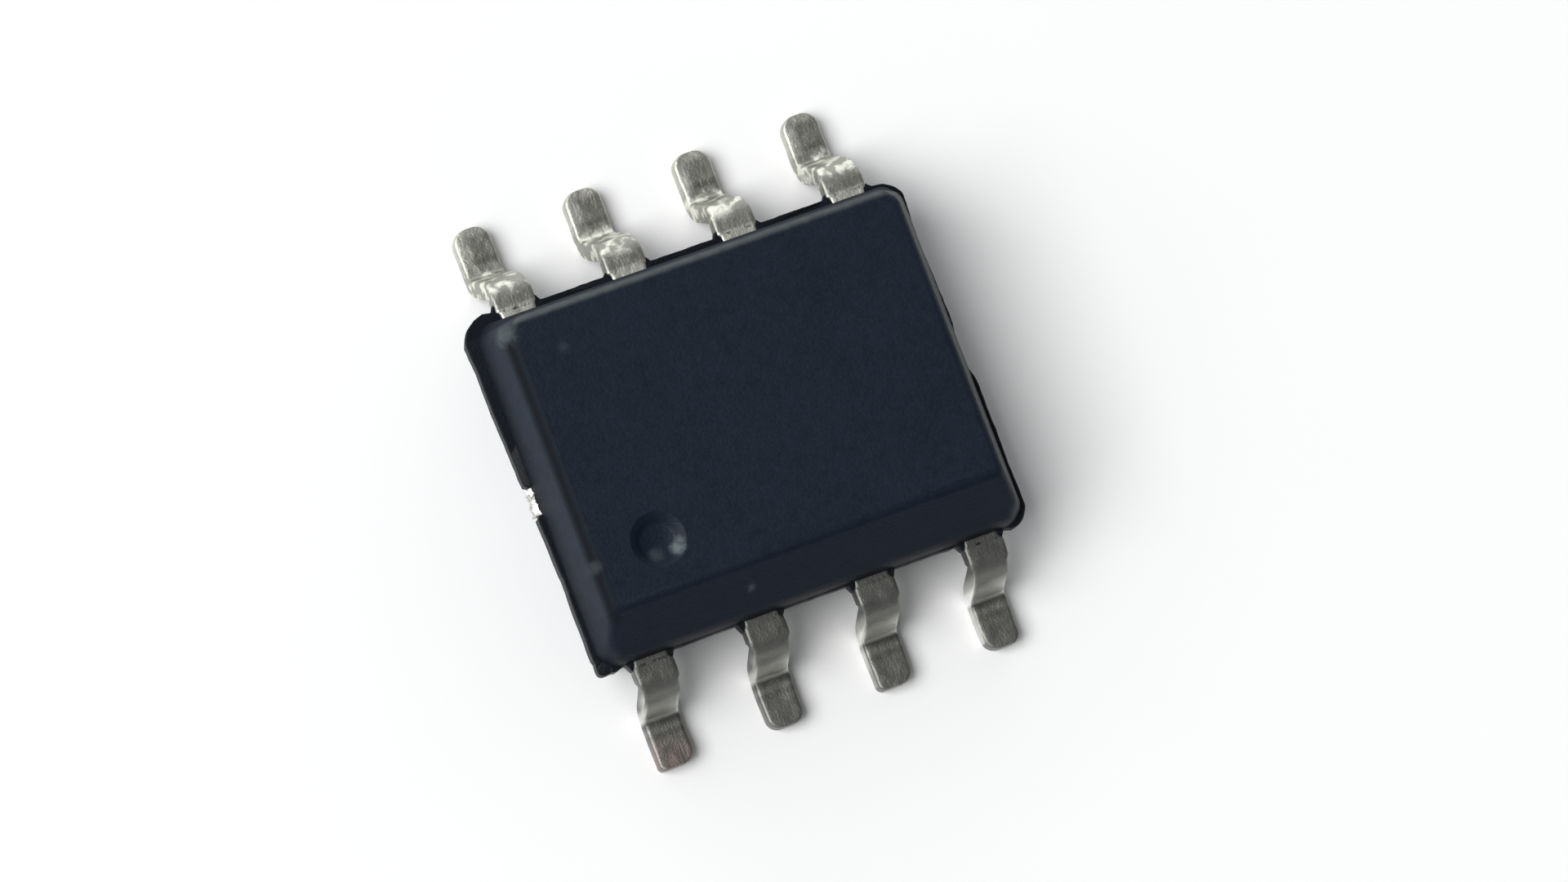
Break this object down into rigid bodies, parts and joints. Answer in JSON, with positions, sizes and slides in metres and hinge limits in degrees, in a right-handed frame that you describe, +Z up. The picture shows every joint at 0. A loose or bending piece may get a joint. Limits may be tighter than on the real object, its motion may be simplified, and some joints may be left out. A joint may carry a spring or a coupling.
{
  "type": "small-outline integrated circuit package",
  "caption": "Small rectangular black moulded chip package with gull-wing leads along two sides, a long chamfer and a round index recess on one side, and a bare thermal pad underneath.",
  "frame": {"origin": "on the plane that the leads stand on, under the middle of the body", "axes": "+X along the rows of leads, from lead 1 towards lead 4; +Y across them, from leads 1 to 4 towards leads 5 to 8; +Z up, out of the top face"},
  "size_m": [0.005, 0.0062, 0.0016],
  "materials": {
    "moulding_compound": "matte black epoxy moulding compound with a fine grain",
    "tinned_lead": "dull tin plating, scuffed, over stamped copper strip",
    "tinned_paddle": "dull tin plating over stamped copper strip",
    "die_epoxy": "silver-filled epoxy",
    "silicon": "polished silicon with a passivated face",
    "bond_copper": "bright drawn copper wire"
  },
  "bodies": {
    "root": {"moulded_body": "moulding_compound", "lead_1": "tinned_lead", "lead_2": "tinned_lead", "lead_3": "tinned_lead", "lead_4": "tinned_lead", "lead_5": "tinned_lead", "lead_6": "tinned_lead", "lead_7": "tinned_lead", "lead_8": "tinned_lead", "thermal_pad": "tinned_paddle", "die_attach": "die_epoxy", "silicon_die": "silicon", "bond_wire_1": "bond_copper", "bond_wire_2": "bond_copper", "bond_wire_3": "bond_copper", "bond_wire_4": "bond_copper", "bond_wire_5": "bond_copper", "bond_wire_6": "bond_copper", "bond_wire_7": "bond_copper", "bond_wire_8": "bond_copper"}
  },
  "joints": []
}
